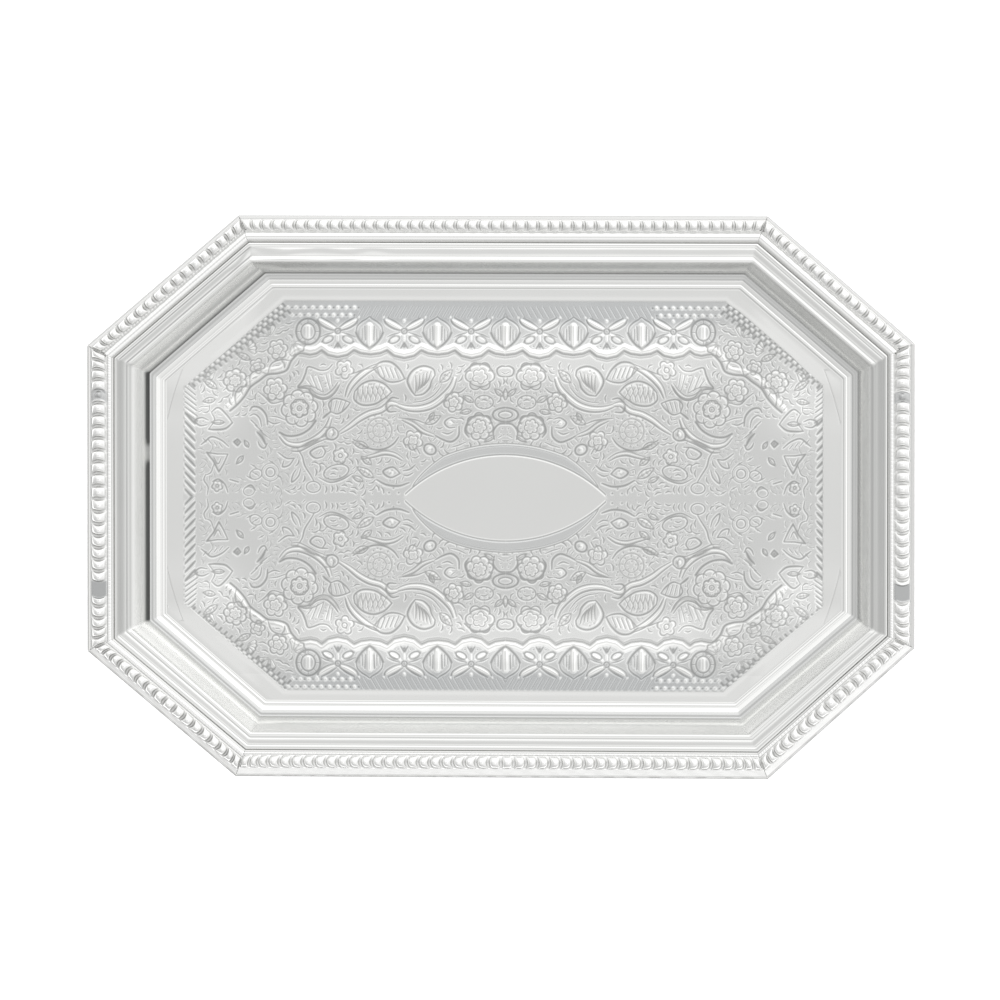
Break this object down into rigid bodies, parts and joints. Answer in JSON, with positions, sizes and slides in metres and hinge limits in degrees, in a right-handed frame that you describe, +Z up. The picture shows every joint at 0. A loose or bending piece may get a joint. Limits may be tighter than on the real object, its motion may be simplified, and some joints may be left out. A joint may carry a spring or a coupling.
{
  "type": "octagonal serving tray",
  "caption": "Long octagonal plated serving tray with a raised moulded rim, mitred gadroon border and a shallow flat well for carrying or resting tableware.",
  "frame": {"origin": "centre of the underside of the flat floor, on the surface the tray rests on", "axes": "+X along the tray's length, +Y across it, +Z up out of the well"},
  "size_m": [0.356, 0.241, 0.0189],
  "materials": {
    "pan_plate": "bright silver-coloured plate on pressed sheet, lightly brushed by handling, with matt engraved ornament",
    "border_plate": "bright silver-coloured plate, polished lobes with dull hollows"
  },
  "bodies": {
    "root": {"tray_pan": "pan_plate", "border_right_end": "border_plate", "border_back_right_corner": "border_plate", "border_back": "border_plate", "border_back_left_corner": "border_plate", "border_left_end": "border_plate", "border_front_left_corner": "border_plate", "border_front": "border_plate", "border_front_right_corner": "border_plate"}
  },
  "joints": []
}
